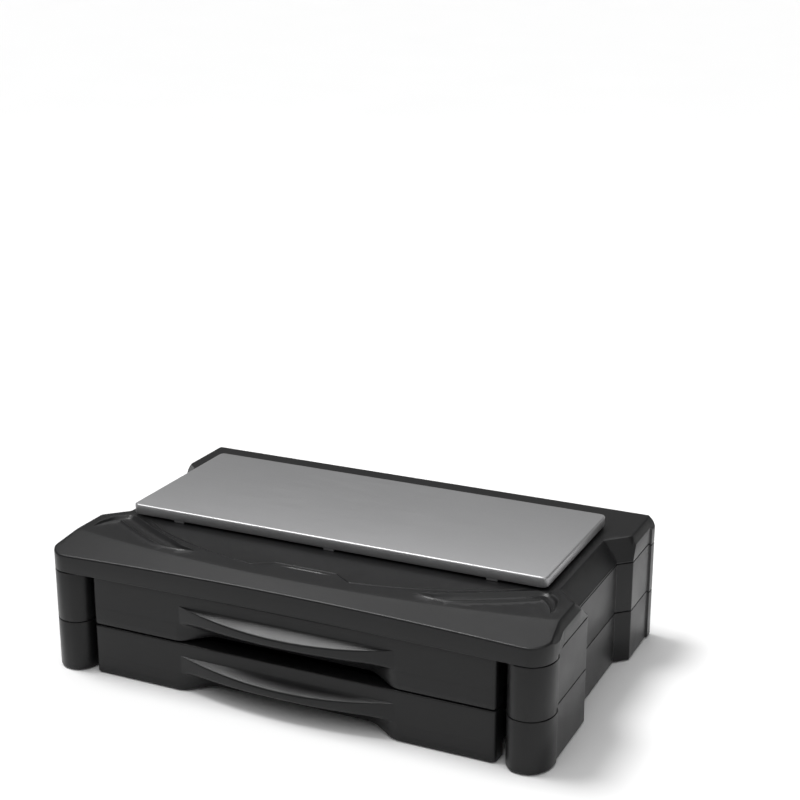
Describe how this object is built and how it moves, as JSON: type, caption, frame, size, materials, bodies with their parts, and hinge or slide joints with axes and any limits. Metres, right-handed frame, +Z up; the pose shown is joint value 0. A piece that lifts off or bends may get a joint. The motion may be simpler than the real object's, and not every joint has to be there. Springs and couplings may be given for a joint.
{
  "type": "monitor riser stand",
  "caption": "Low dark desk stand with a raised silver platform on its deck, corner columns, waisted sides and a stack of two full-width sliding drawers with curved handle lips.",
  "frame": {"origin": "centre of the footprint, on the surface that the stand rests on", "axes": "+Z up, -Y towards the drawers' handle lips, +X towards the right column as seen by someone facing the drawers"},
  "size_m": [0.43, 0.271, 0.119],
  "materials": {
    "body_plastic": "charcoal plastic with a fine moulded grain",
    "inner_plastic": "black plastic, smooth",
    "platform_silver": "satin silver",
    "foot_rubber": "black rubber",
    "screw_steel": "zinc-plated steel"
  },
  "bodies": {
    "stand": {"lower_left_side_frame": "body_plastic", "lower_right_side_frame": "body_plastic", "upper_left_side_frame": "body_plastic", "upper_right_side_frame": "body_plastic", "lower_rear_wall": "body_plastic", "upper_rear_wall": "body_plastic", "lower_stack_pin_front_left": "inner_plastic", "upper_stack_pin_front_left": "inner_plastic", "foot_front_left": "foot_rubber", "lower_stack_pin_front_right": "inner_plastic", "upper_stack_pin_front_right": "inner_plastic", "foot_front_right": "foot_rubber", "lower_stack_pin_rear_left": "inner_plastic", "upper_stack_pin_rear_left": "inner_plastic", "foot_rear_left": "foot_rubber", "lower_stack_pin_rear_right": "inner_plastic", "upper_stack_pin_rear_right": "inner_plastic", "foot_rear_right": "foot_rubber", "top_cover": "body_plastic", "platform_plate": "platform_silver", "platform_pad_front_left": "foot_rubber", "platform_screw_front_left": "screw_steel", "platform_pad_front_right": "foot_rubber", "platform_screw_front_right": "screw_steel", "platform_pad_rear_left": "foot_rubber", "platform_screw_rear_left": "screw_steel", "platform_pad_rear_right": "foot_rubber", "platform_screw_rear_right": "screw_steel"},
    "lower_drawer": {"lower_drawer_front": "body_plastic", "lower_drawer_tray": "inner_plastic", "lower_drawer_screw_left": "screw_steel", "lower_drawer_screw_right": "screw_steel"},
    "upper_drawer": {"upper_drawer_front": "body_plastic", "upper_drawer_tray": "inner_plastic", "upper_drawer_screw_left": "screw_steel", "upper_drawer_screw_right": "screw_steel"}
  },
  "joints": [
    {"name": "lower_drawer_slide", "type": "slide", "parent": "stand", "child": "lower_drawer", "axis": [0, -1, 0], "range_m": [0, 0.18]},
    {"name": "upper_drawer_slide", "type": "slide", "parent": "stand", "child": "upper_drawer", "axis": [0, -1, 0], "range_m": [0, 0.18]}
  ]
}
